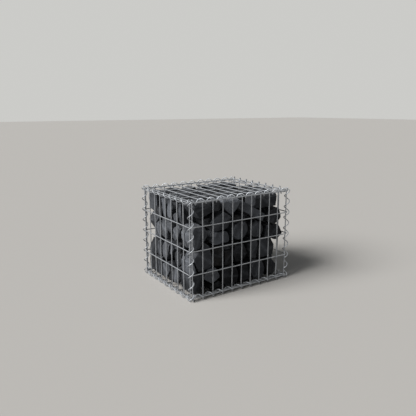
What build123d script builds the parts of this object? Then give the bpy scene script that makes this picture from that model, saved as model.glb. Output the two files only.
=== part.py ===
from build123d import *
import math
import os
import random

# Gabion basket: a box of welded wire mesh, laced along its twelve edges with
# wire spirals and filled with dark broken stone. Millimetres, +Z up, front at -Y.
# The origin is on the ground below the middle of the basket.

# Welded mesh
CELL_WIDE = 50.0            # pitch of the uprights, and of the lid wires that run front to back
CELL_TALL = 100.0           # pitch of the level wires of the walls
CELLS_LONG = 10             # cells along the front
CELLS_DEEP = 8              # cells along each end
CELLS_HIGH = 4              # cells from bottom to top
LID_CROSS_EVERY = 2         # the lid and base have a long wire at every second upright
MESH_WIRE = 4.5             # thickness of every mesh wire
WIRE_OVERRUN = 0.5          # a cross wire runs past the edge wire by this

# Spiral binders
BINDER_WIRE = 4.0           # thickness of the spiral's wire
TURNS_PER_TALL_CELL = 2     # turns of a corner spiral in one tall cell
TURN_SIDES = 8              # straight pieces in one turn

# How a spiral holds two panels together
EDGE_CLEARANCE = 1.1        # the lid's edge wires lie one wire and this inside the spiral's axis
TOP_WIRE_ANGLE = 15.0       # the wall's edge wire lies this far below level, seen from the axis
SEAT = 0.3                  # free space between pieces that bear on each other

# Stones
STONE_DEPTH = 82.0          # how deep the outer stones reach into the basket
SEAT_GAP = 0.6              # free space where one stone rests on another
SIDE_GAP = 5.0              # free space between stones side by side
SHORTEST_EDGE = 6.0         # a shorter edge of an outline is left out
UNEVENNESS = 0.07           # how far a corner strays, as a share of the stone's size
FACE_RELIEF = 1.5           # the ridge of a stone's outer face lies this far behind the mesh
FACE_TILTS = (1.5, 5.0)     # least and most tilt of the larger half of that face, in degrees
SIDE_TILTS = (6.0, 14.0)    # the same for its smaller half
STONE_SEED = 11             # start of the random draws

# The stones, each by its outline on one side of the basket, in courses from the ground up.
# An outline is a regular polygon that stands on one edge, stretched, then turned. Its row
# has its middle (along, up) and its width and height in hundredths of the filled space,
# its turn in degrees and its number of corners. A stone gives way to those before it where
# they overlap, and what no outline covers stays open.
FRONT_COURSES = [
    [(21, 18, 15.5, 18.5, 180, 5), (7, 10, 19, 30, 0, 4), (41, 12, 18.5, 30, 3, 6),
     (55, 11, 9.5, 27, 0, 4), (69.5, 13, 19.5, 25, 0, 6), (84.5, 11, 11, 26, 4, 5),
     (27, 4, 14, 15, 0, 5)],
    [(88, 53, 15, 27, -106, 5), (27, 37, 10, 26, 0, 4), (15, 41, 23, 32, 8, 5),
     (3, 35, 15, 24, 0, 3), (35.5, 47, 11, 7, 0, 6), (36.5, 35, 9.5, 22, 0, 4),
     (50, 36, 17.5, 24, 0, 6), (65, 39, 11, 25, 0, 6), (75.5, 37, 9.5, 25, 0, 4),
     (84, 36, 8.5, 22, 0, 5)],
    [(50, 62, 18.5, 22.5, 0, 7), (68.5, 59.5, 17, 20, 0, 7), (9, 63, 21, 24, 0, 6),
     (30.5, 55.5, 21, 18, 0, 6)],
    [(88.5, 72.5, 15, 25, -102, 5), (61.5, 79.5, 30, 17, -31, 4), (30.5, 76, 22, 23, 0, 5),
     (16.5, 77, 13, 12, 0, 6), (45.5, 76.5, 9, 9, 0, 5)],
    [(12, 94, 22, 27, 165, 5), (41, 94.5, 18.5, 27, 180, 5), (77, 93, 26, 17, 0, 4),
     (26, 96, 12, 19, 0, 4)],
]

# The back repeats the front, this far further along, with a fuller top course.
BACK_SHIFT = 4.5
BACK_TOP_COURSE = [(5, 86, 12, 30, 0, 4), (20, 91, 18, 25, 180, 5), (37, 92, 18, 21, 0, 5),
                   (53, 94, 15, 17, 180, 5), (76, 93, 28, 18, 0, 4)]

# Stones of the ends, between those of the front and the back.
END_COURSES = [
    [(73, 13, 21, 26, 0, 4), (57.3, 14, 17, 21, 20, 5), (33.4, 14.5, 17, 21, 25, 5),
     (45, 10, 9, 21, 25, 4), (24, 12, 9, 25, 0, 4)],
    [(55, 37, 15, 24, 25, 6), (70, 36, 15, 21, 20, 5), (43, 43, 12, 15, 15, 5),
     (29, 34, 18, 16, 20, 6), (30, 45, 12, 13, 0, 4)],
    [(56.7, 62, 13, 23, 5, 4), (72.5, 58, 19, 18, 10, 5), (32.5, 61.5, 12, 25, 40, 6),
     (44.6, 67, 13, 14, 30, 5)],
    [(73, 78, 21, 12, 0, 4), (32.5, 80, 12, 10, 0, 5)],
    [(58, 87, 15, 26, 0, 5), (45, 88, 12, 26, 5, 6), (33, 95, 12, 13, 0, 4),
     (24, 89, 9, 27, 0, 4)],
]

# Stones between the walls' stones, below the lid and on the base.
LEVEL_STONES = [
    (13, 26, 30, 58, 0, 5), (38, 22, 28, 52, 15, 6), (63, 27, 30, 58, 0, 5),
    (90, 23, 26, 54, 5, 4), (13, 77, 32, 54, 180, 5), (41, 76, 30, 58, -8, 6),
    (66, 78, 28, 54, 0, 5), (89, 76, 28, 58, 180, 5),
]


def level_wires():
    """Heights of the walls' level wires above the bottom one."""
    return [CELL_TALL * i for i in range(CELLS_HIGH + 1)]


# Sizes that follow from the ones above
BAR_CORNER = MESH_WIRE / math.sqrt(3)       # centre to corner of a six-sided bar
HALF_LONG = CELL_WIDE * CELLS_LONG / 2
HALF_DEEP = CELL_WIDE * CELLS_DEEP / 2
TALL = CELL_TALL * CELLS_HIGH
LID_INSET = MESH_WIRE + EDGE_CLEARANCE      # lid edge wire to spiral axis, along the lid
EDGE_REACH = math.hypot(LID_INSET, MESH_WIRE / 2)
TOP_WIRE_OUT = EDGE_REACH * math.cos(math.radians(TOP_WIRE_ANGLE))
TOP_WIRE_DROP = EDGE_REACH * math.sin(math.radians(TOP_WIRE_ANGLE))
WALL_OUT = TOP_WIRE_OUT - MESH_WIRE - (EDGE_REACH - LID_INSET)
CORNER_INSET = math.sqrt(EDGE_REACH ** 2 - WALL_OUT ** 2)

BINDER_HALF = BINDER_WIRE * math.sqrt(math.pi) / 4      # half side of a square of equal area
HALF_SIDE_TURN = math.pi / TURN_SIDES
BINDER_BORE = EDGE_REACH + BAR_CORNER + SEAT
BINDER_REACH = BINDER_BORE / math.cos(HALF_SIDE_TURN) + BINDER_HALF
BINDER_OUTER = BINDER_REACH + BINDER_HALF

LOW_AXIS = BINDER_OUTER                     # height of the bottom spirals' axes
LOW_WIRE = LOW_AXIS + TOP_WIRE_DROP         # height of the bottom level wires
TOP_AXIS = LOW_WIRE + TALL + TOP_WIRE_DROP
LID_X = HALF_LONG + LID_INSET               # axes of the top and bottom spirals
LID_Y = HALF_DEEP + LID_INSET
CORNER_X = HALF_LONG + CORNER_INSET         # axes of the corner spirals
CORNER_Y = HALF_DEEP + CORNER_INSET
WALL_X = CORNER_X + WALL_OUT                # planes of the walls' uprights
WALL_Y = CORNER_Y + WALL_OUT

FILL_X = WALL_X - MESH_WIRE / 2 - SEAT      # half length of the filled space
FILL_Y = WALL_Y - MESH_WIRE / 2 - SEAT
FILL_LOW = LOW_AXIS + MESH_WIRE + SEAT
FILL_TOP = TOP_AXIS - MESH_WIRE - SEAT


def bar(start, end, normal):
    """A six-sided mesh wire from start to end, with flats that face the normal."""
    start, end, normal = Vector(*start), Vector(*end), Vector(*normal)
    run = end - start
    plane = Plane(origin=start, x_dir=normal.cross(run), z_dir=run)
    return extrude(plane * RegularPolygon(radius=BAR_CORNER, side_count=6), run.length)


def welded_panel(across, along, across_plane, along_plane, place):
    """One mesh panel, fused where its two layers of wires cross.

    across and along are the places of the wires of each layer. place turns a
    spot on the panel, and its distance out, into a point.
    """
    past = BAR_CORNER + WIRE_OVERRUN
    normal = Vector(*place(0, 0, 1)) - Vector(*place(0, 0, 0))
    bars = []
    for a in across:
        low, high = along[0] - past, along[-1] + past
        bars.append(bar(place(a, low, across_plane), place(a, high, across_plane), normal))
    for b in along:
        low, high = across[0] - past, across[-1] + past
        bars.append(bar(place(low, b, along_plane), place(high, b, along_plane), normal))
    return bars[0].fuse(*bars[1:])


def wall_panel(half_run, cells, place):
    """A wall: uprights inside, level wires outside."""
    uprights = [CELL_WIDE * i - half_run for i in range(cells + 1)]
    levels = [LOW_WIRE + z for z in level_wires()]
    return welded_panel(uprights, levels, 0, MESH_WIRE, place)


def lid_panel(side):
    """The lid (side 1) or the base (side -1): wires to the back outside, long ones inside."""
    axis = TOP_AXIS if side > 0 else LOW_AXIS
    cells = sorted({*range(0, CELLS_DEEP + 1, LID_CROSS_EVERY), CELLS_DEEP})
    to_back = [CELL_WIDE * i - HALF_LONG for i in range(CELLS_LONG + 1)]
    long_wires = [CELL_WIDE * j - HALF_DEEP for j in cells]
    half = MESH_WIRE / 2
    return welded_panel(to_back, long_wires, half, -half,
                        lambda a, b, out: (a, b, axis + side * out))


def spiral(start, run, outward, turns):
    """A right-hand spiral with a whole number of turns along run, from its outer side.

    Each turn has TURN_SIDES straight pieces of square wire, with flat facets.
    """
    start, run = Vector(*start), Vector(*run)
    ahead = run.normalized()
    out = Vector(*outward).normalized()
    side = ahead.cross(out)
    pieces = turns * TURN_SIDES
    step = run.length / pieces
    slope = math.atan2(step * TURN_SIDES, 2 * math.pi * BINDER_REACH)
    rings = []
    for i in range(pieces + 1):
        turn = 2 * HALF_SIDE_TURN * i
        radial = out * math.cos(turn) + side * math.sin(turn)
        around = side * math.cos(turn) - out * math.sin(turn)
        rise = ahead * math.cos(slope) - around * math.sin(slope)
        centre = start + ahead * (step * i) + radial * BINDER_REACH
        rings.append([centre + radial * (BINDER_HALF * a) + rise * (BINDER_HALF * b)
                      for a, b in ((1, 1), (-1, 1), (-1, -1), (1, -1))])
    facets = [Face(Wire.make_polygon(rings[0])), Face(Wire.make_polygon(rings[-1]))]
    for near, far in zip(rings, rings[1:]):
        for k in range(4):
            m = (k + 1) % 4
            facets.append(Face(Wire.make_polygon([near[k], near[m], far[m]])))
            facets.append(Face(Wire.make_polygon([near[k], far[m], far[k]])))
    return Solid(Shell(facets))


def outline(row, width, height, draw):
    """The corners of a stone on its side of the basket, from its row in the lists."""
    along, up, wide, tall, turn, corners = row
    angles = [math.radians(360 * (i + 0.5) / corners - 90) for i in range(corners)]
    regular = [Vector(math.cos(a), math.sin(a), 0) for a in angles]
    low = Vector(min(p.X for p in regular), min(p.Y for p in regular), 0)
    high = Vector(max(p.X for p in regular), max(p.Y for p in regular), 0)
    points = []
    for corner in regular:
        across = (corner.X - low.X) / (high.X - low.X) - 0.5 + draw.uniform(-UNEVENNESS, UNEVENNESS)
        over = (corner.Y - low.Y) / (high.Y - low.Y) - 0.5 + draw.uniform(-UNEVENNESS, UNEVENNESS)
        spot = Vector(across * wide * width / 100, over * tall * height / 100, 0)
        points.append(spot.rotate(Axis.Z, turn) + Vector(along * width / 100, up * height / 100, 0))
    return points


def edges_of(points):
    """The edges of an outline, as pairs of corners."""
    return list(zip(points, points[1:] + points[:1]))


def cut_outline(points, normal, limit):
    """The part of an outline that reaches no further than the limit along the normal."""
    kept = []
    for a, b in edges_of(points):
        over_a, over_b = a.dot(normal) - limit, b.dot(normal) - limit
        if over_a <= 0:
            kept.append(a)
        if over_a * over_b < 0:
            kept.append(a + (b - a) * (over_a / (over_a - over_b)))
    return kept


def give_way(points, other):
    """An outline, cut back behind another one along the line where they overlap least."""
    if len(points) < 3 or len(other) < 3:
        return points
    ways = []
    for outline_edges, way in ((edges_of(points), 1), (edges_of(other), -1)):
        for a, b in outline_edges:
            normal = Vector(b.Y - a.Y, a.X - b.X, 0).normalized() * way
            reach, start = max(p.dot(normal) for p in points), min(p.dot(normal) for p in other)
            ways.append((reach - start, start, normal))
    overlap, start, normal = min(ways, key=lambda found: found[0])
    gap = SEAT_GAP if abs(normal.Y) > abs(normal.X) else SIDE_GAP
    return cut_outline(points, normal, start - gap) if overlap + gap > 0 else points


def outlines(rows, width, height, margin, draw):
    """The outlines of one side's stones, kept apart and within the side, less a margin."""
    shapes = [outline(row, width, height, draw) for row in rows]
    for normal, limit in ((Vector(-1, 0, 0), -margin), (Vector(1, 0, 0), width - margin),
                          (Vector(0, -1, 0), 0), (Vector(0, 1, 0), height)):
        shapes = [cut_outline(points, normal, limit) for points in shapes]
    for i in range(len(shapes)):
        for before in shapes[:i]:
            shapes[i] = give_way(shapes[i], before)
    return [[a for a, b in edges_of(points) if (b - a).length > SHORTEST_EDGE] for points in shapes]


def trim(body, point, normal):
    """The part of a stone behind a plane, or the stone itself where the plane misses it."""
    beyond = max((corner.center() - point).dot(normal) for corner in body.vertices())
    if beyond < SEAT_GAP / 4:
        return body
    return split(body, Plane(origin=point, z_dir=normal), keep=Keep.BOTTOM)


def tilted(normal, tilts, draw):
    """A direction, tilted to a random side by between so many and so many degrees."""
    tilt = math.radians(draw.uniform(*tilts))
    lean = Vector(*(draw.uniform(-1, 1) for _ in range(3)))
    lean = (lean - normal * lean.dot(normal)).normalized() * math.tan(tilt)
    return (normal + lean).normalized()


def stone(points, place, room, draw):
    """One broken stone: its outline runs into the basket, and its outer faces are ridged."""
    profile = Face(Wire.make_polygon([place(p.X, p.Y, 0) for p in points]))
    inward = place(0, 0, 1) - place(0, 0, 0)
    body = (extrude(profile, STONE_DEPTH, dir=inward) & room).solid()
    for outward in (Vector(1, 0, 0), Vector(-1, 0, 0), Vector(0, 1, 0), Vector(0, -1, 0),
                    Vector(0, 0, 1)):
        reach = max(corner.center().dot(outward) for corner in body.vertices())
        edge = max(corner.center().dot(outward) for corner in room.vertices())
        if reach > edge - SEAT_GAP:
            centre = body.center()
            ridge = centre + outward * (edge - FACE_RELIEF - centre.dot(outward))
            body = trim(body, ridge, tilted(outward, FACE_TILTS, draw))
            if outward.dot(inward) < -0.5:
                body = trim(body, ridge, tilted(outward, SIDE_TILTS, draw))
    return body


def heart():
    """The stones in the middle, as slanting slices of a block that the outer stones hide."""
    inner = STONE_DEPTH + SEAT_GAP
    long, deep, tall = FILL_X - inner, FILL_Y - inner, FILL_TOP - FILL_LOW - 2 * inner
    block = Pos(0, 0, (FILL_LOW + FILL_TOP) / 2) * Box(2 * long, 2 * deep, tall)
    slope = math.radians(SIDE_TILTS[0])
    lean = Vector(math.cos(slope), 0, math.sin(slope))
    centre = block.center()
    slices = []
    for low, high in ((-long, -long / 3), (-long / 3, long / 3), (long / 3, long)):
        piece = block
        if high < long:
            piece = trim(piece, centre + Vector(high - SEAT_GAP / 2, 0, 0), lean)
        if low > -long:
            piece = trim(piece, centre + Vector(low + SEAT_GAP / 2, 0, 0), -lean)
        slices.append(piece)
    return slices


def fill():
    """All stones, as a dictionary of node name and list of solids."""
    long, deep, tall = 2 * FILL_X, 2 * FILL_Y, FILL_TOP - FILL_LOW
    room = Pos(0, 0, (FILL_LOW + FILL_TOP) / 2) * Box(long, deep, tall)
    room = chamfer(room.edges(), (BINDER_OUTER + SEAT) * math.sqrt(2))
    draw = random.Random(STONE_SEED)
    inner = STONE_DEPTH + SEAT_GAP
    nodes = {"heart_stones": heart()}

    def add(names, rows, width, height, margin, place):
        """The stones of one side, each in the node that its name gives."""
        for name, points in zip(names, outlines(rows, width, height, margin, draw)):
            if len(points) > 2:
                nodes.setdefault(name, []).append(stone(points, place, room, draw))

    back_courses = [[(along + BACK_SHIFT, *rest) for along, *rest in course]
                    for course in [*FRONT_COURSES[:-1], BACK_TOP_COURSE]]
    for side, courses in (("front", FRONT_COURSES), ("back", back_courses),
                          ("left", END_COURSES), ("right", END_COURSES)):
        names = [f"{side}_stones_course_{number}"
                 for number, course in enumerate(courses, 1) for _ in course]
        rows = [row for course in courses for row in course]
        out = -1 if side in ("front", "left") else 1
        if side in ("front", "back"):
            add(names, rows, long, tall, 0,
                lambda a, b, d: Vector(a - FILL_X, out * (FILL_Y - d), b + FILL_LOW))
        else:
            add(names, rows, deep, tall, inner,
                lambda a, b, d: Vector(out * (FILL_X - d), a - FILL_Y, b + FILL_LOW))
    for name, height, down in (("base", FILL_LOW, 1), ("lid", FILL_TOP, -1)):
        add([f"{name}_stones"] * len(LEVEL_STONES), LEVEL_STONES, long - 2 * inner, deep - 2 * inner, 0,
            lambda a, b, d: Vector(a - FILL_X + inner, b - FILL_Y + inner, height + down * d))
    return nodes


def build():
    """Every node of the basket by name."""
    nodes = {
        "front_panel": wall_panel(HALF_LONG, CELLS_LONG, lambda a, b, out: (a, -WALL_Y - out, b)),
        "back_panel": wall_panel(HALF_LONG, CELLS_LONG, lambda a, b, out: (a, WALL_Y + out, b)),
        "left_panel": wall_panel(HALF_DEEP, CELLS_DEEP, lambda a, b, out: (-WALL_X - out, a, b)),
        "right_panel": wall_panel(HALF_DEEP, CELLS_DEEP, lambda a, b, out: (WALL_X + out, a, b)),
        "lid_panel": lid_panel(1),
        "base_panel": lid_panel(-1),
    }
    for level, height, up in (("top", TOP_AXIS, 1), ("bottom", LOW_AXIS, -1)):
        for name, side in (("front", -1), ("back", 1)):
            nodes[f"{level}_{name}_spiral"] = spiral(
                (-HALF_LONG, side * LID_Y, height), (2 * HALF_LONG, 0, 0), (0, side, up), CELLS_LONG)
        for name, side in (("left", -1), ("right", 1)):
            nodes[f"{level}_{name}_spiral"] = spiral(
                (side * LID_X, -HALF_DEEP, height), (0, 2 * HALF_DEEP, 0), (side, 0, up), CELLS_DEEP)
    for depth, y in (("front", -1), ("back", 1)):
        for name, x in (("left", -1), ("right", 1)):
            nodes[f"{depth}_{name}_corner_spiral"] = spiral(
                (x * CORNER_X, y * CORNER_Y, LOW_WIRE), (0, 0, TALL), (x, y, 0),
                CELLS_HIGH * TURNS_PER_TALL_CELL)
    for name, solids in fill().items():
        nodes[name] = Compound(children=solids) if len(solids) > 1 else solids[0]
    return nodes


os.makedirs("parts", exist_ok=True)
for node, shape in build().items():
    export_step(shape, f"parts/{node}.step")
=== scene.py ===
import logging
import math
from dataclasses import dataclass
from enum import Enum
from functools import reduce

import bmesh
import bpy
import numpy as np
from mathutils import Matrix, Vector


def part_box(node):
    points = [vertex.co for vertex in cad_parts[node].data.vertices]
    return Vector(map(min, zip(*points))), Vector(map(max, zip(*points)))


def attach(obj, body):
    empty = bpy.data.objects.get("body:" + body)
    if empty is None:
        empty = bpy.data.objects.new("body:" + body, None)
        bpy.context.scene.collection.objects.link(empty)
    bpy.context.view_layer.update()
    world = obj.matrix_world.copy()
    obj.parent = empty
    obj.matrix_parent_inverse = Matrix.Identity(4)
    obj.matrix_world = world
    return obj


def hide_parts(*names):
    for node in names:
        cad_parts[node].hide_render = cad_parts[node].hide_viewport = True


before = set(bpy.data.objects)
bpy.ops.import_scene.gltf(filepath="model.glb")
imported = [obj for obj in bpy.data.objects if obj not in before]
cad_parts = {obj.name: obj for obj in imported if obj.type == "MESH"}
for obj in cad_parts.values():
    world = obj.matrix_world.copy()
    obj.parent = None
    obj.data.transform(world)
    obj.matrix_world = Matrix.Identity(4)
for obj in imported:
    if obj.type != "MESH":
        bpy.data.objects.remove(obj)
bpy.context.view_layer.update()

LOG = logging.getLogger("gabion")

Tree, Node, Socket = bpy.types.NodeTree, bpy.types.Node, bpy.types.NodeSocket
Material, Mesh, Object = bpy.types.Material, bpy.types.Mesh, bpy.types.Object
Colour = tuple[float, float, float]
SocketValue = Socket | float | int | bool | tuple | Material
Span = tuple[SocketValue, SocketValue]


def new_object(name: str, data: bpy.types.ID) -> Object:
    """Makes an object and links it to the scene."""
    made = bpy.data.objects.new(name, data)
    bpy.context.scene.collection.objects.link(made)
    return made


def add_node(tree: Tree, kind: str, sockets: dict | None = None,
             **settings: object) -> Node:
    """Adds a node and fills in its inputs.

    Args:
        tree: The tree that gets the node.
        kind: The node's type name.
        sockets: Input name or number, and either a socket to link or a plain value.
        settings: Properties of the node itself.

    Returns:
        The new node.
    """
    node = tree.nodes.new(kind)
    for name, value in settings.items():
        setattr(node, name, value)
    for name, value in (sockets or {}).items():
        if isinstance(value, Socket):
            tree.links.new(value, node.inputs[name])
        else:
            node.inputs[name].default_value = value
    return node


def maths(tree: Tree, operation: str, *values: SocketValue) -> Socket:
    """Adds one Math node with its inputs in order, and gives its output."""
    return add_node(tree, "ShaderNodeMath", dict(enumerate(values)),
                    operation=operation).outputs[0]


def product(tree: Tree, *factors: SocketValue) -> Socket:
    """Multiplies values, from the first to the last."""
    return reduce(lambda so_far, factor: maths(tree, "MULTIPLY", so_far, factor), factors)


def total(tree: Tree, *terms: SocketValue) -> Socket:
    """Adds values up, from the first to the last."""
    return reduce(lambda so_far, term: maths(tree, "ADD", so_far, term), terms)


def centred(tree: Tree, value: SocketValue, share: SocketValue) -> Socket:
    """Moves a noise of 0 to 1 so that it strays both ways from 0, and scales it."""
    return product(tree, maths(tree, "SUBTRACT", value, 0.5), share)


def stretched(tree: Tree, value: SocketValue, span: Span, to: Span = (0.0, 1.0)) -> Socket:
    """Stretches a value from its own span to another, and holds it there."""
    return add_node(tree, "ShaderNodeMapRange", {
        "Value": value, "From Min": span[0], "From Max": span[1],
        "To Min": to[0], "To Max": to[1]}).outputs[0]


def mixed(tree: Tree, factor: SocketValue, first: SocketValue, second: SocketValue) -> Socket:
    """Mixes two colours. The factor is how much of the second one shows."""
    # By number, because a Mix node has inputs with the same name for every kind of data.
    return add_node(tree, "ShaderNodeMix", {0: factor, 6: first, 7: second},
                    data_type="RGBA").outputs[2]


def vector_of(tree: Tree, x: SocketValue = 0.0, y: SocketValue = 0.0,
              z: SocketValue = 0.0) -> Socket:
    """Joins three numbers to a vector."""
    return add_node(tree, "ShaderNodeCombineXYZ", {0: x, 1: y, 2: z}).outputs[0]


def scaled(tree: Tree, vector: SocketValue, factor: SocketValue) -> Socket:
    """Scales a vector by a number."""
    return add_node(tree, "ShaderNodeVectorMath", {0: vector, "Scale": factor},
                    operation="SCALE").outputs[0]


class SocketKind(Enum):
    """The kinds of named input and output that the trees here have."""

    GEOMETRY = "NodeSocketGeometry"
    FLOAT = "NodeSocketFloat"
    INTEGER = "NodeSocketInt"
    COLOUR = "NodeSocketColor"
    MATERIAL = "NodeSocketMaterial"


class NamedTree:
    """A node tree with named inputs and outputs."""

    def __init__(self, name: str, kind: str, inputs: dict[str, SocketKind],
                 outputs: dict[str, SocketKind]) -> None:
        """Makes the tree.

        Args:
            name: The tree's name.
            kind: The tree's type name.
            inputs: Each input's name and kind. A geometry input, if any, comes first.
            outputs: Each output's name and kind.
        """
        self.tree = bpy.data.node_groups.new(name, kind)
        for way, sockets in (("OUTPUT", outputs), ("INPUT", inputs)):
            for label, socket in sockets.items():
                self.tree.interface.new_socket(label, in_out=way, socket_type=socket.value)
        self.entry = self.tree.nodes.new("NodeGroupInput")

    def given(self, label: str) -> Socket:
        """The socket that carries a named input."""
        return self.entry.outputs[label]


class Recipe(NamedTree):
    """A Geometry Nodes tree whose result becomes a plain mesh."""

    def __init__(self, name: str, inputs: dict[str, SocketKind]) -> None:
        """Makes the tree with its inputs and one geometry output."""
        super().__init__(name, "GeometryNodeTree", inputs, {"Geometry": SocketKind.GEOMETRY})
        self.identifiers = {item.name: item.identifier for item in self.tree.interface.items_tree
                            if item.in_out == "INPUT"}

    def close(self, geometry: Socket) -> None:
        """Ends the tree: smooth shading, Realize Instances and Set Material."""
        smooth = add_node(self.tree, "GeometryNodeSetShadeSmooth", {"Geometry": geometry})
        plain = add_node(self.tree, "GeometryNodeRealizeInstances", {0: smooth.outputs[0]})
        dressed = add_node(self.tree, "GeometryNodeSetMaterial", {
            "Geometry": plain.outputs[0], "Material": self.given("Material")})
        exit_node = self.tree.nodes.new("NodeGroupOutput")
        self.tree.links.new(dressed.outputs[0], exit_node.inputs[0])

    def run(self, values: dict[str, SocketValue], start: Mesh | None = None) -> Mesh:
        """Makes the mesh for one set of inputs.

        Args:
            values: Input names and their values.
            start: The mesh that the tree works on, if it has a geometry input.

        Returns:
            The result as a plain mesh.
        """
        carrier = new_object("carrier", start or bpy.data.meshes.new("empty"))
        modifier = carrier.modifiers.new("recipe", "NODES")
        modifier.node_group = self.tree
        for label, value in values.items():
            modifier[self.identifiers[label]] = value
        graph = bpy.context.evaluated_depsgraph_get()
        result = bpy.data.meshes.new_from_object(carrier.evaluated_get(graph))
        carrier.modifiers.remove(modifier)
        bpy.data.objects.remove(carrier)
        return result


class Effect(NamedTree):
    """A shader node group, which puts out colours, masks and values."""

    def __init__(self, name: str, inputs: dict[str, SocketKind],
                 outputs: dict[str, SocketKind]) -> None:
        """Makes the group with its inputs and outputs."""
        super().__init__(name, "ShaderNodeTree", inputs, outputs)
        self.place = add_node(self.tree, "ShaderNodeTexCoord").outputs["Object"]

    def close(self, results: dict[str, Socket]) -> None:
        """Links the group's outputs to what they put out."""
        add_node(self.tree, "NodeGroupOutput", results)

    def use(self, tree: Tree, values: dict[str, SocketValue]) -> Node:
        """Places the group in another tree, with its inputs there."""
        return add_node(tree, "ShaderNodeGroup", values, node_tree=self.tree)


# What an effect puts out for a material: its colour, its roughness and its relief.
SURFACE = {"Color": SocketKind.COLOUR, "Roughness": SocketKind.FLOAT, "Height": SocketKind.FLOAT}


def patch_effect() -> Effect:
    """The weathering pattern that stone and zinc share: soft patches over a cloudy noise.

    Returns:
        An effect that puts out the Cloud itself and the Patches in it.
    """
    number = SocketKind.FLOAT
    effect = Effect("weather_patches", {"Scale": number, "Low": number, "High": number},
                    {"Cloud": number, "Patches": number})
    cloud = add_node(effect.tree, "ShaderNodeTexNoise", {
        "Vector": effect.place, "Scale": effect.given("Scale"),
        "Detail": 6.0, "Roughness": 0.62}).outputs[0]
    span = effect.given("Low"), effect.given("High")
    effect.close({"Cloud": cloud, "Patches": stretched(effect.tree, cloud, span)})
    return effect


def spot_values(effect: Effect, scale: SocketValue) -> Socket:
    """Small cells, each with one random value of 0 to 1, as crystals and flecks have."""
    cells = add_node(effect.tree, "ShaderNodeTexVoronoi", {"Vector": effect.place, "Scale": scale})
    return add_node(effect.tree, "ShaderNodeSeparateColor", {
        "Color": cells.outputs["Color"]}).outputs[0]


@dataclass(frozen=True)
class StonePattern:
    """How broken stone varies over its surface.

    Attributes:
        cloud_scale: Fineness of the broad, cloudy patches.
        patch_span: The part of the cloud that makes patches.
        grain_scale: Fineness of the grain.
        fleck_scale: Number of small spots in a metre.
        fleck_least: The value above which a spot is a light fleck.
        fleck_share: How much lighter a fleck is.
        cloud_share: How much the cloud changes the tone.
        grain_share: How much the grain changes it.
        worn_share: How much lighter a worn edge is.
        contrast: The power that parts the tones.
        level_span: How level a face is where dust starts, and where most of it lies.
        roughness: Least and most roughness.
        cloud_height: The cloud's part in the relief, where the grain's is 1.
    """

    cloud_scale: float = 30.0
    patch_span: Span = (0.38, 0.66)
    grain_scale: float = 420.0
    fleck_scale: float = 800.0
    fleck_least: float = 0.93
    fleck_share: float = 0.14
    cloud_share: float = 0.45
    grain_share: float = 0.40
    worn_share: float = 0.6
    contrast: float = 1.5
    level_span: Span = (0.25, 0.95)
    roughness: Span = (0.62, 0.92)
    cloud_height: float = 2.0

    def effect(self, patches: Effect) -> Effect:
        """The stone effect on the weathering pattern: tone, flecks, worn edges and dust."""
        colour, number = SocketKind.COLOUR, SocketKind.FLOAT
        effect = Effect("broken_stone", {
            "Dark": colour, "Light": colour, "Brown": colour, "Dust": colour, "Tone": number,
            "Warmth": number, "Edge": number, "Dust Amount": number}, SURFACE)
        tree, given = effect.tree, effect.given
        weather = patches.use(tree, {"Scale": self.cloud_scale, "Low": self.patch_span[0],
                                     "High": self.patch_span[1]}).outputs
        fine = add_node(tree, "ShaderNodeTexNoise", {
            "Vector": effect.place, "Scale": self.grain_scale,
            "Detail": 4.0, "Roughness": 0.7}).outputs[0]
        fleck = maths(tree, "GREATER_THAN", spot_values(effect, self.fleck_scale),
                      self.fleck_least)
        tone = total(tree, given("Tone"), centred(tree, weather["Cloud"], self.cloud_share),
                     centred(tree, fine, self.grain_share),
                     product(tree, fleck, self.fleck_share),
                     product(tree, fine, self.worn_share, given("Edge")))
        tone = add_node(tree, "ShaderNodeClamp", {"Value": tone}).outputs[0]
        tone = maths(tree, "POWER", tone, self.contrast)
        body = mixed(tree, tone, given("Dark"), given("Light"))
        stain = product(tree, given("Warmth"), weather["Patches"])
        body = mixed(tree, stain, body, given("Brown"))
        normal = add_node(tree, "ShaderNodeNewGeometry").outputs["Normal"]
        up = add_node(tree, "ShaderNodeSeparateXYZ", {0: normal}).outputs[2]
        level = stretched(tree, up, self.level_span)
        dust = product(tree, level, weather["Patches"], given("Dust Amount"))
        cloud = product(tree, weather["Cloud"], self.cloud_height)
        effect.close({"Color": mixed(tree, dust, body, given("Dust")),
                      "Roughness": stretched(tree, fine, (0.0, 1.0), self.roughness),
                      "Height": total(tree, fine, cloud)})
        return effect


@dataclass(frozen=True)
class ZincPattern:
    """How galvanized wire varies over its surface.

    Attributes:
        cloud_scale: Fineness of the dull patches.
        patch_span: The part of the cloud that makes patches.
        crystal_share: How much the crystals change the colour.
        crystal_height: The crystals' part in the relief, where the cloud's is 1.
        roughness: Least and most roughness.
    """

    cloud_scale: float = 60.0
    patch_span: Span = (0.42, 0.68)
    crystal_share: float = 0.35
    crystal_height: float = 0.3
    roughness: Span = (0.46, 0.70)

    def effect(self, patches: Effect) -> Effect:
        """The zinc effect on the weathering pattern: a soft spangle under a dull bloom."""
        colour, number = SocketKind.COLOUR, SocketKind.FLOAT
        effect = Effect("zinc_coat", {"Bright": colour, "Dull": colour, "Spangle": number,
                                      "Bloom": number}, SURFACE)
        tree, given = effect.tree, effect.given
        crystal = spot_values(effect, given("Spangle"))
        weather = patches.use(tree, {"Scale": self.cloud_scale, "Low": self.patch_span[0],
                                     "High": self.patch_span[1]}).outputs
        bloom = product(tree, weather["Patches"], given("Bloom"))
        dull = total(tree, bloom, product(tree, crystal, self.crystal_share))
        dull = add_node(tree, "ShaderNodeClamp", {"Value": dull}).outputs[0]
        relief = product(tree, crystal, self.crystal_height)
        effect.close({"Color": mixed(tree, dull, given("Bright"), given("Dull")),
                      "Roughness": stretched(tree, dull, (0.0, 1.0), self.roughness),
                      "Height": total(tree, weather["Cloud"], relief)})
        return effect


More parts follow.
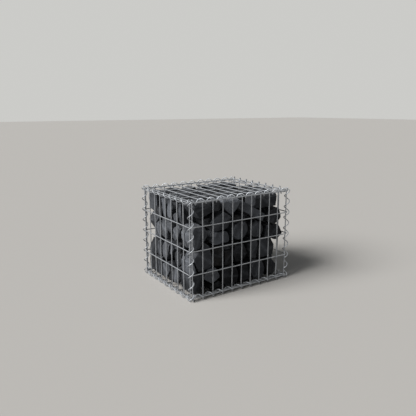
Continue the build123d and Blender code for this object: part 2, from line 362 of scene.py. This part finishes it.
def plain_material(name: str) -> tuple[Material, Node]:
    """Makes a material, and gives it with its Principled BSDF node."""
    material = bpy.data.materials.new(name)
    material.use_nodes = True
    return material, material.node_tree.nodes["Principled BSDF"]


def dressed_material(name: str, effect: Effect, values: dict[str, SocketValue],
                     relief: Span) -> tuple[Material, Node, Node]:
    """Makes a material whose colour, roughness and relief come from an effect.

    Args:
        name: The material's name.
        effect: The effect.
        values: The effect's inputs.
        relief: Strength of the bump, from 0 to 1, and height in metres.

    Returns:
        The material, its shader node and the effect's node.
    """
    material, shader = plain_material(name)
    tree = material.node_tree
    group = effect.use(tree, values)
    bump = add_node(tree, "ShaderNodeBump", {
        "Height": group.outputs["Height"], "Strength": relief[0], "Distance": relief[1]})
    tree.links.new(group.outputs["Color"], shader.inputs["Base Color"])
    tree.links.new(group.outputs["Roughness"], shader.inputs["Roughness"])
    tree.links.new(bump.outputs[0], shader.inputs["Normal"])
    return material, shader, group


@dataclass(frozen=True)
class ZincFinish:
    """Galvanized wire.

    Attributes:
        name: The material's name.
        bright: Colour of clean zinc.
        dull: Colour of the grey bloom.
        spangle: Crystals in a metre.
        bloom: How much of the wire has gone dull.
        metallic: How metallic the wire looks.
        relief: Strength of its bump, from 0 to 1, and height in metres.
    """

    name: str = "galvanized_mesh"
    bright: Colour = (0.45, 0.466, 0.49)
    dull: Colour = (0.30, 0.315, 0.335)
    spangle: float = 260.0
    bloom: float = 0.8
    metallic: float = 0.85
    relief: Span = (0.25, 0.0004)

    def material(self, coat: Effect) -> Material:
        """Builds the material from the zinc effect."""
        material, shader, _ = dressed_material(
            self.name, coat, {"Bright": (*self.bright, 1.0), "Dull": (*self.dull, 1.0),
                              "Spangle": self.spangle, "Bloom": self.bloom}, self.relief)
        shader.inputs["Metallic"].default_value = self.metallic
        return material


@dataclass(frozen=True)
class StoneFinish:
    """Dark broken stone.

    Attributes:
        name: The material's name.
        dark: Colour of the darkest stone.
        light: Colour of the lightest stone.
        brown: Colour of the earthy stain on some stones.
        dust: Colour of the dust.
        dust_amount: How much of a level face the dust covers.
        specular: How much light its faces mirror.
        relief: Strength of its bump, from 0 to 1, and height in metres.
    """

    name: str = "dark_stone"
    dark: Colour = (0.0055, 0.0062, 0.0075)
    light: Colour = (0.200, 0.212, 0.234)
    brown: Colour = (0.052, 0.048, 0.043)
    dust: Colour = (0.17, 0.166, 0.162)
    dust_amount: float = 0.20
    specular: float = 0.15
    relief: Span = (0.8, 0.0022)

    def material(self, grain: Effect) -> Material:
        """Builds the material from the stone effect, and from values in the stones' meshes."""
        material, shader, group = dressed_material(
            self.name, grain, {"Dark": (*self.dark, 1.0), "Light": (*self.light, 1.0),
                               "Brown": (*self.brown, 1.0), "Dust": (*self.dust, 1.0),
                               "Dust Amount": self.dust_amount}, self.relief)
        tree = material.node_tree
        for label in ("tone", "warmth", "edge"):
            value = add_node(tree, "ShaderNodeAttribute", attribute_name=label).outputs["Fac"]
            tree.links.new(value, group.inputs[label.title()])
        shader.inputs["Specular IOR Level"].default_value = self.specular
        return material


WIRE_SIDES = 14             # sides of a wire's section
STRAIGHT_POINTS = 41        # points along a straight wire, so that it can waver
BEAD_SIDES, BEAD_RINGS = 10, 4
BEAD_FLATNESS = 0.42        # height of a weld bead as a share of its width
WAVER_SCALE = 5.5           # fineness of a panel's unevenness
DRIFT_SCALE = 0.9           # fineness of a spiral's unevenness, by the turn
SPIRAL_SEED_STEP = 10.0     # parts the unevenness of one spiral from the next


def round_wire(recipe: Recipe, curve: Socket) -> Socket:
    """Gives a curve the round section of the recipe's wire, with closed ends."""
    circle = add_node(recipe.tree, "GeometryNodeCurvePrimitiveCircle", {
        "Resolution": WIRE_SIDES, "Radius": recipe.given("Wire Radius")})
    return add_node(recipe.tree, "GeometryNodeCurveToMesh", {
        "Curve": curve, "Profile Curve": circle.outputs[0],
        "Fill Caps": True}).outputs[0]


def resampled_line(recipe: Recipe, count: SocketValue, ends: dict[str, Socket]) -> Socket:
    """A straight curve with evenly spaced points, between its ends if they are given."""
    line = add_node(recipe.tree, "GeometryNodeCurvePrimitiveLine", ends)
    return add_node(recipe.tree, "GeometryNodeResampleCurve", {
        "Curve": line.outputs[0], "Count": count}).outputs[0]


class WireLayer:
    """One layer of a welded panel: parallel wires, all the same length."""

    def __init__(self, recipe: Recipe, name: str, axis: str, other: str) -> None:
        """Takes the recipe, the name in its inputs, and the axes across and along the wires."""
        self.recipe, self.name, self.axis, self.other = recipe, name, axis, other

    def row(self, level: SocketValue) -> Socket:
        """Points at the middles of the layer's wires.

        Args:
            level: The row's height above the panel's middle.

        Returns:
            The points.
        """
        tree, given = self.recipe.tree, self.recipe.given
        steps = maths(tree, "SUBTRACT", given(f"{self.name}s"), 1.0)
        pitch = given(f"{self.name} Pitch")
        first = product(tree, steps, pitch, -0.5)
        return add_node(tree, "GeometryNodeMeshLine", {
            "Count": given(f"{self.name}s"),
            "Start Location": vector_of(tree, z=level, **{self.axis: first}),
            "Offset": vector_of(tree, **{self.axis: pitch})}).outputs[0]

    def wires(self) -> Socket:
        """The layer's wires, at its own level.

        Returns:
            Instances of one wire.
        """
        tree, given = self.recipe.tree, self.recipe.given
        length = given(f"{self.name} Length")
        ends = {end: vector_of(tree, **{self.other: product(tree, length, share)})
                for end, share in (("Start", -0.5), ("End", 0.5))}
        line = resampled_line(self.recipe, STRAIGHT_POINTS, ends)
        return add_node(tree, "GeometryNodeInstanceOnPoints", {
            "Points": self.row(given(f"{self.name} Level")),
            "Instance": round_wire(self.recipe, line)}).outputs[0]


def panel_recipe() -> Recipe:
    """The tree of a welded panel: two layers of round wires and the welds between them.

    Returns:
        The recipe, in the panel's own plane with its middle at the origin.
    """
    number, whole = SocketKind.FLOAT, SocketKind.INTEGER
    recipe = Recipe("welded_panel", {
        "Uprights": whole, "Upright Pitch": number, "Upright Length": number,
        "Upright Level": number, "Crossings": whole, "Crossing Pitch": number,
        "Crossing Length": number, "Crossing Level": number, "Wire Radius": number,
        "Weld Radius": number, "Unevenness": number, "Seed": number,
        "Material": SocketKind.MATERIAL})
    tree = recipe.tree
    uprights = WireLayer(recipe, "Upright", "x", "y")
    crossings = WireLayer(recipe, "Crossing", "y", "x")
    bead = add_node(tree, "GeometryNodeMeshUVSphere", {
        "Segments": BEAD_SIDES, "Rings": BEAD_RINGS,
        "Radius": recipe.given("Weld Radius")})
    beads = add_node(tree, "GeometryNodeTransform", {
        "Geometry": bead.outputs[0], "Scale": (1.0, 1.0, BEAD_FLATNESS)})
    for layer in (uprights, crossings):
        beads = add_node(tree, "GeometryNodeInstanceOnPoints", {
            "Points": layer.row(0.0), "Instance": beads.outputs[0]})
    joined = add_node(tree, "GeometryNodeJoinGeometry")
    for part in (uprights.wires(), crossings.wires(), beads.outputs[0]):
        tree.links.new(part, joined.inputs[0])
    # An instance moves as one, so the wires become plain before they are made uneven.
    plain = add_node(tree, "GeometryNodeRealizeInstances", {0: joined.outputs[0]})
    place = add_node(tree, "GeometryNodeInputPosition").outputs[0]
    spot = add_node(tree, "ShaderNodeSeparateXYZ", {0: place}).outputs
    wave = add_node(tree, "ShaderNodeTexNoise", {
        "Vector": vector_of(tree, spot[0], spot[1], recipe.given("Seed")),
        "Scale": WAVER_SCALE, "Detail": 1.0}).outputs["Color"]
    strayed = add_node(tree, "ShaderNodeVectorMath", {0: wave, 1: (0.5, 0.5, 0.5)},
                       operation="SUBTRACT").outputs[0]
    offset = scaled(tree, strayed, recipe.given("Unevenness"))
    recipe.close(add_node(tree, "GeometryNodeSetPosition", {
        "Geometry": plain.outputs[0], "Offset": offset}).outputs[0])
    return recipe


def spiral_recipe() -> Recipe:
    """The tree of a lacing spiral: a right-hand helix that starts on +X and climbs +Z.

    Returns:
        The recipe, with the spiral's middle at the origin.
    """
    number = SocketKind.FLOAT
    recipe = Recipe("lacing_spiral", {
        "Turns": number, "Tail": number, "Pitch": number, "Radius": number,
        "Wire Radius": number, "Unevenness": number, "Seed": number,
        "Points": SocketKind.INTEGER, "Material": SocketKind.MATERIAL})
    tree, given = recipe.tree, recipe.given
    line = resampled_line(recipe, given("Points"), {})
    share = add_node(tree, "GeometryNodeSplineParameter").outputs["Factor"]
    whole = total(tree, given("Turns"), product(tree, given("Tail"), 2.0))
    turn = maths(tree, "SUBTRACT", product(tree, share, whole), given("Tail"))
    drift = add_node(tree, "ShaderNodeTexNoise", {
        "W": total(tree, turn, given("Seed")),
        "Scale": DRIFT_SCALE, "Detail": 1.0}, noise_dimensions="1D")
    drift = centred(tree, drift.outputs[0], given("Unevenness"))
    angle = product(tree, total(tree, turn, drift), math.tau)
    across, over = (product(tree, maths(tree, wave, angle), given("Radius"))
                    for wave in ("COSINE", "SINE"))
    middle = maths(tree, "SUBTRACT", turn, product(tree, given("Turns"), 0.5))
    along = product(tree, middle, given("Pitch"))
    helix = add_node(tree, "GeometryNodeSetPosition", {
        "Geometry": line, "Position": vector_of(tree, across, over, along)})
    recipe.close(round_wire(recipe, helix.outputs[0]))
    return recipe


@dataclass(frozen=True)
class Roughness:
    """One kind of roughness on a stone's faces.

    Attributes:
        scale: Its fineness.
        depth: Its depth in metres.
        span: The usual span of its pattern.
    """

    scale: float
    depth: float
    span: Span


@dataclass(frozen=True)
class Weathering:
    """How the faces of stones are roughened, always inwards.

    Attributes:
        scallop: Shallow scallops where pieces have broken off.
        hollow: Soft hollows.
        grit: Fine roughness all over.
    """

    scallop: Roughness = Roughness(38.0, 0.0016, (0.1, 0.75))
    hollow: Roughness = Roughness(20.0, 0.0024, (0.35, 0.75))
    grit: Roughness = Roughness(130.0, 0.0011, (0.3, 0.7))

    def recipe(self) -> Recipe:
        """The tree that roughens stones.

        Returns:
            The recipe, which works on a mesh of smooth stones.
        """
        recipe = Recipe("stone_weathering", {
            "Stones": SocketKind.GEOMETRY, "Material": SocketKind.MATERIAL})
        tree = recipe.tree
        place = add_node(tree, "GeometryNodeInputPosition").outputs[0]
        normal = add_node(tree, "GeometryNodeInputNormal").outputs[0]
        cells = add_node(tree, "ShaderNodeTexVoronoi", {
            "Vector": place, "Scale": self.scallop.scale, "Smoothness": 0.25},
            feature="SMOOTH_F1").outputs["Distance"]
        hollow = add_node(tree, "ShaderNodeTexNoise", {
            "Vector": place, "Scale": self.hollow.scale, "Detail": 3.0,
            "Roughness": 0.55, "Distortion": 0.4}).outputs[0]
        grit = add_node(tree, "ShaderNodeTexNoise", {
            "Vector": place, "Scale": self.grit.scale, "Detail": 4.0,
            "Roughness": 0.65}).outputs[0]
        waves = (maths(tree, "SUBTRACT", 1.0, stretched(tree, cells, self.scallop.span)),
                 stretched(tree, hollow, self.hollow.span), stretched(tree, grit, self.grit.span))
        depths = (self.scallop.depth, self.hollow.depth, self.grit.depth)
        deep = total(tree, *(product(tree, wave, depth) for wave, depth in zip(waves, depths)))
        offset = scaled(tree, normal, product(tree, deep, -1.0))
        moved = add_node(tree, "GeometryNodeSetPosition", {
            "Geometry": recipe.given("Stones"), "Offset": offset})
        recipe.close(moved.outputs[0])
        return recipe


def finish_piece(name: str, mesh: Mesh, slot: str, *nodes: str) -> Object:
    """Makes a mesh a piece of the object, in place of its CAD nodes.

    Args:
        name: The piece's name.
        mesh: Its mesh, in the row frame.
        slot: The record's material slot; not used.
        nodes: The CAD nodes that it replaces.

    Returns:
        The new object.
    """
    mesh.name = name
    piece = new_object(name, mesh)
    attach(piece, "root")
    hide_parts(*nodes)
    LOG.info("%s: %d faces for %s", name, len(mesh.polygons), ", ".join(nodes))
    return piece


def turned_to(place: Vector, *axes: Vector) -> Matrix:
    """The matrix that brings a mesh to its place and turns its own X, Y and Z to the axes."""
    return Matrix.Translation(place) @ Matrix(axes).transposed().to_4x4()


class PanelSide(Enum):
    """The six panels, each with the directions of its own X and Y axes."""

    FRONT = ((1, 0, 0), (0, 0, 1))
    BACK = ((-1, 0, 0), (0, 0, 1))
    LEFT = ((0, -1, 0), (0, 0, 1))
    RIGHT = ((0, 1, 0), (0, 0, 1))
    LID = ((1, 0, 0), (0, 1, 0))
    BASE = ((1, 0, 0), (0, -1, 0))

    @property
    def axes(self) -> tuple[Vector, Vector, Vector]:
        """The panel's own X, Y and outward axes."""
        across, along = Vector(self.value[0]), Vector(self.value[1])
        return across, along, across.cross(along)


@dataclass
class WeldedPanel:
    """One welded mesh panel of round wires.

    Attributes:
        side: Which panel it is.
        cell_wide: Pitch of the wires that run along the panel's own Y.
        cell_tall: Pitch of the wires that run along its own X.
        wire: Thickness of the wires.
        weld: Width of a weld.
        unevenness: How far the panel strays from flat, from end to end.
    """

    side: PanelSide
    cell_wide: float = 0.050
    cell_tall: float = 0.100
    wire: float = 0.0045
    weld: float = 0.0056
    unevenness: float = 0.0022

    def build(self, recipe: Recipe, material: Material, seed: float) -> Object:
        """Builds the panel where its CAD node is.

        Args:
            recipe: The panel tree.
            material: The wire's material.
            seed: Start of the unevenness.

        Returns:
            The finished piece.
        """
        name = self.side.name.lower()
        low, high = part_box(f"{name}_panel")
        across, along, out = self.side.axes
        wide, tall = abs((high - low).dot(across)), abs((high - low).dot(along))
        flat = self.side in (PanelSide.LID, PanelSide.BASE)
        level = self.wire / 2 if flat else -self.wire / 2
        mesh = recipe.run({
            "Uprights": 1 + round((wide - 2 * self.wire) / self.cell_wide),
            "Upright Pitch": self.cell_wide,
            "Upright Length": tall,
            "Upright Level": level,
            "Crossings": 1 + round((tall - 2 * self.wire) / self.cell_tall),
            "Crossing Pitch": self.cell_tall,
            "Crossing Length": wide,
            "Crossing Level": -level,
            "Wire Radius": self.wire / 2,
            "Weld Radius": self.weld / 2,
            "Unevenness": self.unevenness,
            "Seed": seed,
            "Material": material,
        })
        mesh.transform(turned_to((low + high) / 2, across, along, out))
        return finish_piece(f"{name}_mesh", mesh, "mesh_wire", f"{name}_panel")


@dataclass
class LacingSpiral:
    """One spiral that laces two panels together.

    Attributes:
        node: Its CAD node.
        run: The direction that it climbs in.
        outward: The direction of its outer side.
        pitch: Length of one turn.
        radius: Distance of the wire's middle from the axis.
        wire: Thickness of the wire.
        tail: Part of a turn past the last cross wire, at each end.
        unevenness: How far a turn strays along the spiral, in turns.
        points_per_turn: Number of points in one turn.
    """

    node: str
    run: Vector
    outward: Vector
    pitch: float = 0.050
    radius: float = 0.0112
    wire: float = 0.004
    tail: float = 0.08
    unevenness: float = 0.05
    points_per_turn: int = 30

    def build(self, recipe: Recipe, material: Material, seed: float) -> Object:
        """Builds the spiral where its CAD node is.

        Args:
            recipe: The spiral tree.
            material: The wire's material.
            seed: Start of the unevenness.

        Returns:
            The finished piece.
        """
        low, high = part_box(self.node)
        turns = int(abs((high - low).dot(self.run)) / self.pitch)
        mesh = recipe.run({
            "Turns": float(turns),
            "Tail": self.tail,
            "Pitch": self.pitch,
            "Radius": self.radius,
            "Wire Radius": self.wire / 2,
            "Unevenness": self.unevenness,
            "Seed": seed,
            "Points": turns * self.points_per_turn,
            "Material": material,
        })
        outward = self.outward.normalized()
        mesh.transform(turned_to((low + high) / 2, outward, self.run.cross(outward), self.run))
        name = self.node.replace("_spiral", "_lacing")
        return finish_piece(name, mesh, "spiral_wire", self.node)


def lacing_spirals() -> list[LacingSpiral]:
    """The twelve spirals of the basket, by the names of their CAD nodes."""
    spirals = []
    for level, up in (("top", 1), ("bottom", -1)):
        for name, run, outward in (("front", (1, 0, 0), (0, -1, up)),
                                   ("back", (1, 0, 0), (0, 1, up)),
                                   ("left", (0, 1, 0), (-1, 0, up)),
                                   ("right", (0, 1, 0), (1, 0, up))):
            spirals.append(LacingSpiral(f"{level}_{name}_spiral", Vector(run), Vector(outward)))
    for depth, y in (("front", -1), ("back", 1)):
        for name, x in (("left", -1), ("right", 1)):
            spirals.append(LacingSpiral(f"{depth}_{name}_corner_spiral",
                                        Vector((0, 0, 1)), Vector((x, y, 0))))
    return spirals


@dataclass
class StoneShape:
    """The flat sides of one CAD stone, seen from its middle.

    Attributes:
        centre: The stone's middle.
        corners: Its corners, from the middle.
        normals: The outward direction of each side.
        heights: The distance of each side from the middle.
    """

    centre: np.ndarray
    corners: np.ndarray
    normals: np.ndarray
    heights: np.ndarray


SAME_CORNER = 1e-6          # metres within which two corners are one
SAME_SIDE = 3               # decimals to which the faces of one side agree in direction


def joined_points(first: bmesh.types.BMVert,
                  unseen: set[bmesh.types.BMVert]) -> list[bmesh.types.BMVert]:
    """Follows the edges of one stone from one of its corners.

    Args:
        first: The corner to start from.
        unseen: The corners that no stone has yet; the stone's own are taken out.

    Returns:
        The stone's corners.
    """
    group, border = [first], [first]
    unseen.discard(first)
    while border:
        for edge in border.pop().link_edges:
            for vert in edge.verts:
                if vert in unseen:
                    unseen.discard(vert)
                    group.append(vert)
                    border.append(vert)
    return group


def read_stones(node: str) -> list[StoneShape]:
    """Reads the separate stones of a CAD node.

    Args:
        node: The node's name.

    Returns:
        Their shapes, along the basket's side: by Y at the ends, and by X anywhere else.
    """
    work = bmesh.new()
    work.from_mesh(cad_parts[node].data)
    bmesh.ops.remove_doubles(work, verts=work.verts, dist=SAME_CORNER)
    unseen, shapes = set(work.verts), []
    for first in list(work.verts):
        if first not in unseen:
            continue
        group = joined_points(first, unseen)
        corners = np.array([vert.co[:] for vert in group])
        centre = corners.mean(0)
        sides = {}
        for face in sorted({face for vert in group for face in vert.link_faces},
                           key=lambda face: face.index):
            normal = np.array(face.normal[:])
            height = float(normal @ (np.array(face.verts[0].co[:]) - centre))
            sides.setdefault(tuple(np.round(normal, SAME_SIDE)), (normal, height))
        normals, heights = zip(*sides.values())
        shapes.append(StoneShape(centre, corners - centre, np.array(normals),
                                 np.array(heights)))
    work.free()
    along = 1 if node.startswith(("left", "right")) else 0
    return sorted(shapes, key=lambda shape: shape.centre[along])


def unit(rows: np.ndarray) -> np.ndarray:
    """Vectors of the length 1."""
    return rows / np.linalg.norm(rows, axis=1)[:, None]


def sphere_points(detail: int) -> tuple[np.ndarray, list[tuple[int, ...]]]:
    """An even ball of directions.

    Args:
        detail: Level of the ball's subdivision.

    Returns:
        Unit vectors, and the triangles between them.
    """
    work = bmesh.new()
    bmesh.ops.create_icosphere(work, subdivisions=detail, radius=1.0)
    points = np.array([vert.co[:] for vert in work.verts])
    faces = [tuple(vert.index for vert in face.verts) for face in work.faces]
    work.free()
    return unit(points), faces


@dataclass
class StoneCourse:
    """The broken stones of one CAD node.

    Attributes:
        node: The node's name.
        tones: How light each stone is along the side, from 0 to 1, or none for random tones.
            Listed tones are partly painted light and shade.
        round_stones: Numbers of the stones that are worn round.
        sharpness: Least and most crispness of the edges.
        roundness: What the crispness of a round stone is divided by.
        chips: Number of extra flat faces on a stone.
        chip_range: How near to the middle a chip cuts, as a share of the corner's distance.
        shrink: The most that a side stands back, as a share of its height.
        edge_start: How near the second side has to be, next to the nearest, at an edge.
        tone_range: Least and most random tone.
        most_warmth: The most that a stone is stained.
        warmth_power: The power that leaves most stones unstained.
    """

    node: str
    tones: tuple[float, ...] = ()
    round_stones: tuple[int, ...] = ()
    sharpness: tuple[float, float] = (36.0, 90.0)
    roundness: float = 4.0
    chips: int = 14
    chip_range: tuple[float, float] = (0.82, 0.97)
    shrink: float = 0.01
    edge_start: float = 0.92
    tone_range: tuple[float, float] = (0.15, 0.60)
    most_warmth: float = 0.6
    warmth_power: int = 3

    def one_stone(self, shape: StoneShape, ball: np.ndarray, rng: np.random.Generator,
                  wear: float) -> tuple[np.ndarray, np.ndarray]:
        """Shapes one stone: a ball drawn out to the stone's sides and to its random chips.

        Args:
            shape: The CAD stone.
            ball: Unit vectors of the new mesh's points.
            rng: The random draws.
            wear: What the crispness of its edges is divided by.

        Returns:
            The points in the row frame, and how near each one is to an edge, from 0 to 1.
        """
        axes = np.linalg.svd(shape.corners)[2]
        axes[2] *= np.linalg.det(axes)
        spread = np.abs(shape.corners @ axes.T).max(0)
        ball = unit((ball * spread) @ axes)
        chips = unit(rng.normal(size=(self.chips, 3)))
        reach = (shape.corners @ chips.T).max(0)
        normals = np.vstack([shape.normals, chips])
        sides = shape.heights * (1 - self.shrink * rng.random(len(shape.heights)))
        heights = np.concatenate([sides, reach * rng.uniform(*self.chip_range, self.chips)])
        share = np.maximum(ball @ normals.T, 0) / heights
        crisp = rng.uniform(*self.sharpness) / wear
        radius = (share ** crisp).sum(1) ** (-1 / crisp)
        second, nearest = np.sort(share, axis=1)[:, -2:].T
        edge = np.clip((second / nearest - self.edge_start) / (1 - self.edge_start), 0, 1)
        return shape.centre + ball * radius[:, None], edge

    def build(self, recipe: Recipe, material: Material, detail: int, seed: int) -> Object:
        """Builds the stones where their CAD node is.

        Args:
            recipe: The weathering tree.
            material: The stone's material.
            detail: Level of the balls that the stones are made from.
            seed: Start of the random draws.

        Returns:
            The finished piece.
        """
        rng = np.random.default_rng(seed)
        ball, triangles = sphere_points(detail)
        points, faces = [], []
        values = {"edge": [], "tone": [], "warmth": []}
        for number, shape in enumerate(read_stones(self.node)):
            wear = self.roundness if number in self.round_stones else 1.0
            place, edge = self.one_stone(shape, ball, rng, wear)
            tone = rng.uniform(*self.tone_range)
            warmth = self.most_warmth * rng.uniform() ** self.warmth_power
            # Listed tones are partly painted light and shade: lighter where a stone's faces catch
            # the light, darker on directly lit lid stones.
            if number < len(self.tones):
                tone = self.tones[number]
            start = number * len(ball)
            faces.extend(tuple(start + i for i in face) for face in triangles)
            points.append(place)
            values["edge"].append(edge)
            values["tone"].append(np.full(len(ball), tone))
            values["warmth"].append(np.full(len(ball), warmth))
        smooth = bpy.data.meshes.new(self.node)
        smooth.from_pydata(np.concatenate(points).tolist(), [], faces)
        for label, parts in values.items():
            attribute = smooth.attributes.new(label, "FLOAT", "POINT")
            attribute.data.foreach_set("value", np.concatenate(parts))
        mesh = recipe.run({"Material": material}, smooth)
        bpy.data.meshes.remove(smooth)
        name = self.node.replace("_stones", "_rocks")
        return finish_piece(name, mesh, "stone", self.node)


# How light the stones are that the photograph shows: partly each stone's own tone and
# partly painted light and shade. Stones whose faces catch the light are set lighter, and
# the lid's stones, which the key lights directly, are set darker. The front's from left to
# right, and the left end's and the lid's from the front to the back and from left to right.
STONE_TONES_AND_PAINTED_LIGHT: dict[str, tuple[float, ...]] = {
    "front_stones_course_1": (0.20, 0.85, 0.00, 0.10, 0.15, 0.40, 0.10),
    "front_stones_course_2": (0.70, 0.50, 0.10, 0.20, 0.10, 0.10, 0.35, 0.45, 0.30, 0.25),
    "front_stones_course_3": (0.65, 0.70, 0.60, 0.50),
    "front_stones_course_4": (0.20, 0.50, 0.05, 0.60, 0.30),
    "front_stones_course_5": (0.40, 0.20, 1.00, 0.35),
    "left_stones_course_1": (0.00, 0.50, 0.00, 0.50, 0.20),
    "left_stones_course_2": (0.25, 0.25, 0.50, 0.55, 0.35),
    "left_stones_course_3": (0.65, 0.40, 0.60, 0.50),
    "left_stones_course_4": (0.35, 0.15),
    "left_stones_course_5": (0.30, 0.10, 0.45, 0.50),
    "lid_stones": (0.40, 0.45, 0.25, 0.30, 0.20, 0.20, 0.15, 0.15),
}
# The front's stones that the photograph shows rounder than the rest, from left to right.
ROUND_STONES: dict[str, tuple[int, ...]] = {
    "front_stones_course_2": (4, 5),
    "front_stones_course_3": (1, 2, 3),
    "front_stones_course_5": (2,),
}

# The stones of the front and the left end keep nearer to the outlines that the photograph
# shows: they have fewer chips than the rest, and shallower ones.
GENTLE_CHIPS, GENTLE_CHIP_RANGE = 8, (0.90, 0.99)


class BallDetail(Enum):
    """Levels of the balls that stones are made from."""

    HIDDEN = 3
    QUICK = 4
    FULL = 5


class Basket:
    """The dressed basket: its mesh, its lacing and its stones."""

    def __init__(self) -> None:
        """Makes the effects that the finishes share."""
        patches = patch_effect()
        self.zinc = ZincPattern().effect(patches)
        self.grain = StonePattern().effect(patches)

    def mesh(self) -> None:
        """Builds the six welded panels."""
        recipe, wire = panel_recipe(), ZincFinish().material(self.zinc)
        for seed, side in enumerate(PanelSide):
            WeldedPanel(side).build(recipe, wire, float(seed))

    def lacing(self) -> None:
        """Builds the twelve spirals, whose zinc colours are set brighter than the mesh's."""
        finish = ZincFinish("galvanized_spiral", bright=(0.455, 0.475, 0.50),
                            dull=(0.33, 0.345, 0.37))
        recipe, wire = spiral_recipe(), finish.material(self.zinc)
        for number, spiral in enumerate(lacing_spirals()):
            spiral.build(recipe, wire, SPIRAL_SEED_STEP * number)

    def stones(self) -> None:
        """Builds all the stones."""
        recipe, stone = Weathering().recipe(), StoneFinish().material(self.grain)
        seen = BallDetail.FULL
        for seed, node in enumerate(sorted(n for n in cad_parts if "stones" in n)):
            course = StoneCourse(node, STONE_TONES_AND_PAINTED_LIGHT.get(node, ()), ROUND_STONES.get(node, ()))
            if node.startswith(("front", "left")):
                course.chips, course.chip_range = GENTLE_CHIPS, GENTLE_CHIP_RANGE
            detail = BallDetail.HIDDEN if node == "heart_stones" else seen
            course.build(recipe, stone, detail.value, seed)


def seen_directly(tree: Tree) -> Socket:
    """Gives 1 for rays that see a surface, straight or mirrored, and 0 for those that light."""
    ray = add_node(tree, "ShaderNodeLightPath").outputs
    return maths(tree, "MAXIMUM", ray["Is Camera Ray"],
                 maths(tree, "MAXIMUM", ray["Is Glossy Ray"], ray["Is Transmission Ray"]))


@dataclass
class Studio:
    """The floor, the lights and the camera.

    Attributes:
        camera_place: Where the camera stands.
        yaw: Its turn to the right of +Y, in degrees.
        pitch: Its tilt below level, in degrees.
        roll: Its turn about its own axis, in degrees.
        focal_pixels: Focal length in pixels of a picture of picture_width pixels.
        picture_width: The picture's width in pixels.
        sight: How far the camera sees.
        floor_colour: The floor's colour where it is seen.
        floor_bounce: Its colour for the light that it throws back, which is that of rough ground.
        floor_roughness: Its roughness.
        floor_specular: How much light it mirrors.
        floor_size: Length of its sides.
        backdrop: The background's colour where it is seen.
        sky: Colour of the light from all around.
        sky_strength: Strength of that light.
        key_from: The direction that the main light comes from.
        key_strength: Its strength.
        key_width: How wide it looks, in degrees, which softens the shadows.
    """

    camera_place: tuple[float, float, float] = (-1.1513, -1.6882, 0.7738)
    yaw: float = 33.422
    pitch: float = 12.332
    roll: float = -0.095
    focal_pixels: float = 452.23
    picture_width: float = 416.0
    sight: float = 100.0
    floor_colour: Colour = (0.56, 0.54, 0.51)
    floor_bounce: Colour = (0.21, 0.205, 0.20)
    floor_roughness: float = 0.9
    floor_specular: float = 0.1
    floor_size: float = 60.0
    backdrop: Colour = (0.60, 0.60, 0.58)
    sky: Colour = (0.92, 0.96, 1.0)
    sky_strength: float = 0.13
    key_from: tuple[float, float, float] = (-0.78, 0.05, 0.62)
    key_strength: float = 3.9
    key_width: float = 36.0

    def camera(self) -> None:
        """Places the camera at the photograph's angle."""
        data = bpy.data.cameras.new("camera")
        data.lens = data.sensor_width * self.focal_pixels / self.picture_width
        data.clip_end = self.sight
        yaw, pitch, roll = (math.radians(a) for a in (self.yaw, self.pitch, self.roll))
        ahead = Vector((math.sin(yaw) * math.cos(pitch), math.cos(yaw) * math.cos(pitch),
                        -math.sin(pitch)))
        right = Vector((math.cos(yaw), -math.sin(yaw), 0.0))
        up = right.cross(ahead)
        tilted_right = right * math.cos(roll) + up * math.sin(roll)
        tilted_up = up * math.cos(roll) - right * math.sin(roll)
        camera = new_object("camera", data)
        camera.matrix_world = turned_to(Vector(self.camera_place), tilted_right, tilted_up,
                                        -ahead)
        bpy.context.scene.camera = camera

    def floor(self) -> None:
        """Lays a plain pale floor."""
        half = self.floor_size / 2
        corners = [(-half, -half, 0), (half, -half, 0), (half, half, 0), (-half, half, 0)]
        mesh = bpy.data.meshes.new("floor")
        mesh.from_pydata(corners, [], [(0, 1, 2, 3)])
        material, shader = plain_material("floor_pale")
        tree = material.node_tree
        colour = mixed(tree, seen_directly(tree), (*self.floor_bounce, 1.0),
                       (*self.floor_colour, 1.0))
        tree.links.new(colour, shader.inputs["Base Color"])
        shader.inputs["Roughness"].default_value = self.floor_roughness
        shader.inputs["Specular IOR Level"].default_value = self.floor_specular
        mesh.materials.append(material)
        floor = new_object("floor", mesh)

    def lights(self) -> None:
        """Lights the basket softly from the left, under a pale sky."""
        lamp = bpy.data.lights.new("key", "SUN")
        lamp.energy = self.key_strength
        lamp.angle = math.radians(self.key_width)
        key = new_object("key", lamp)
        key.matrix_world = Vector(self.key_from).to_track_quat("Z", "Y").to_matrix().to_4x4()
        world = bpy.data.worlds.new("sky")
        world.use_nodes = True
        tree = world.node_tree
        sky = tree.nodes["Background"]
        sky.inputs["Color"].default_value = (*self.sky, 1.0)
        sky.inputs["Strength"].default_value = self.sky_strength
        seen = add_node(tree, "ShaderNodeBackground", {"Color": (*self.backdrop, 1.0)})
        both = add_node(tree, "ShaderNodeMixShader", {
            0: seen_directly(tree), 1: sky.outputs[0], 2: seen.outputs[0]})
        tree.links.new(both.outputs[0], tree.nodes["World Output"].inputs["Surface"])
        bpy.context.scene.world = world

    def build(self) -> None:
        """Sets the whole studio up."""
        self.camera()
        self.floor()
        self.lights()
        bpy.context.scene.view_settings.view_transform = "Standard"


def main() -> None:
    logging.basicConfig(level=logging.INFO, format="%(name)s: %(message)s")
    Studio().build()
    basket = Basket()
    basket.mesh()
    basket.lacing()
    basket.stones()


if __name__ == "__main__":
    main()
